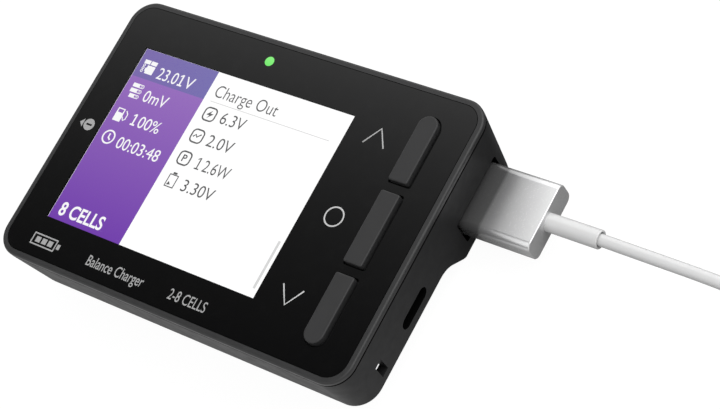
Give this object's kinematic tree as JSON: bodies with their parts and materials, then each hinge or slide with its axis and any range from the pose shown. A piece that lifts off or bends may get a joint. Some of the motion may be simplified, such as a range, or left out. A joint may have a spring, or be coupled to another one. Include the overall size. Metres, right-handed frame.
{
  "type": "balance battery charger",
  "caption": "Pocket balance battery charger with colour display, push buttons, a stepped back, battery sockets and a plugged-in output lead.",
  "frame": {"origin": "under the middle of the body, on the flat back of the thick block that it rests on", "axes": "+Z out of the display, +X towards the output socket side, +Y towards the thick end"},
  "size_m": [0.1715, 0.0604, 0.0192],
  "materials": {
    "case_plastic": "fine moulded texture",
    "frame_plastic": "satin",
    "lens_glass": "polished",
    "mask_print": "gloss black print",
    "black_foam": "matt foam tape",
    "plate_label": "satin film, blank",
    "screw_steel": "black zinc",
    "display_glass": "polished, lit from behind",
    "backlight_white": "smooth",
    "tray_steel": "plain",
    "flex_film": "amber film",
    "connector_plastic": "moulded",
    "board_laminate": "solder mask",
    "led_lens": "clear epoxy",
    "light_pipe_clear": "moulded, lit green",
    "chip_epoxy": "matt epoxy",
    "resistor_ceramic": "glazed",
    "thermal_rubber": "soft pad",
    "heat_aluminium": "sawn",
    "inductor_ferrite": "pressed powder",
    "capacitor_can": "drawn can",
    "buzzer_plastic": "moulded",
    "socket_steel": "nickel plated",
    "socket_insulator": "moulded",
    "contact_gold": "gold plated",
    "balance_nylon": "moulded nylon",
    "battery_nylon": "moulded nylon",
    "sleeve_aluminium": "fine blasted and anodised",
    "plug_steel": "nickel plated",
    "plug_insulator": "moulded",
    "cable_jacket": "soft gloss elastomer",
    "tie_black": "moulded",
    "key_plastic": "satin",
    "switch_base": "moulded",
    "switch_plunger": "moulded"
  },
  "bodies": {
    "charger": {"balance_pins": "contact_gold", "balance_resistors": "resistor_ceramic", "balance_socket": "balance_nylon", "balance_transistors": "chip_epoxy", "battery_pins": "contact_gold", "battery_socket": "battery_nylon", "buzzer": "buzzer_plastic", "case_screws": "screw_steel", "controller_chip": "chip_epoxy", "data_socket_shell": "socket_steel", "data_socket_tongue": "socket_insulator", "display_backlight": "backlight_white", "display_cell": "display_glass", "display_flex": "flex_film", "display_tray": "tray_steel", "flex_connector": "connector_plastic", "front_frame": "frame_plastic", "heat_block": "heat_aluminium", "input_capacitors": "capacitor_can", "lens_adhesive": "black_foam", "lens_mask": "mask_print", "lens_panel": "lens_glass", "light_pipe": "light_pipe_clear", "main_board": "board_laminate", "output_socket_contacts": "contact_gold", "output_socket_shell": "socket_steel", "output_socket_spacer": "socket_insulator", "output_socket_tongue": "socket_insulator", "power_inductor": "inductor_ferrite", "power_transistors": "chip_epoxy", "rating_plate": "plate_label", "rear_shell": "case_plastic", "status_led": "led_lens", "switch_base_down": "switch_base", "switch_base_enter": "switch_base", "switch_base_up": "switch_base", "thermal_pad": "thermal_rubber"},
    "output_plug": {"plug_sleeve": "sleeve_aluminium", "plug_tongue": "plug_steel", "plug_insulator": "plug_insulator", "plug_contacts": "contact_gold", "strain_relief": "cable_jacket", "cable_lead": "cable_jacket", "cable_coil": "cable_jacket", "cable_tail": "cable_jacket", "cable_tie": "tie_black", "far_relief": "cable_jacket", "far_plug_body": "cable_jacket", "far_plug_tongue": "plug_steel"},
    "button_up": {"key_up": "key_plastic", "switch_plunger_up": "switch_plunger"},
    "button_enter": {"key_enter": "key_plastic", "switch_plunger_enter": "switch_plunger"},
    "button_down": {"key_down": "key_plastic", "switch_plunger_down": "switch_plunger"}
  },
  "joints": [
    {"name": "press_up", "type": "slide", "parent": "charger", "child": "button_up", "axis": [0, 0, -1], "range_m": [0, 0.0004], "stiffness_N_per_m": 900},
    {"name": "press_enter", "type": "slide", "parent": "charger", "child": "button_enter", "axis": [0, 0, -1], "range_m": [0, 0.0004], "stiffness_N_per_m": 900},
    {"name": "press_down", "type": "slide", "parent": "charger", "child": "button_down", "axis": [0, 0, -1], "range_m": [0, 0.0004], "stiffness_N_per_m": 900},
    {"name": "plug_pull", "type": "slide", "parent": "charger", "child": "output_plug", "axis": [1, 0, 0], "range_m": [0, 0.0125]}
  ]
}
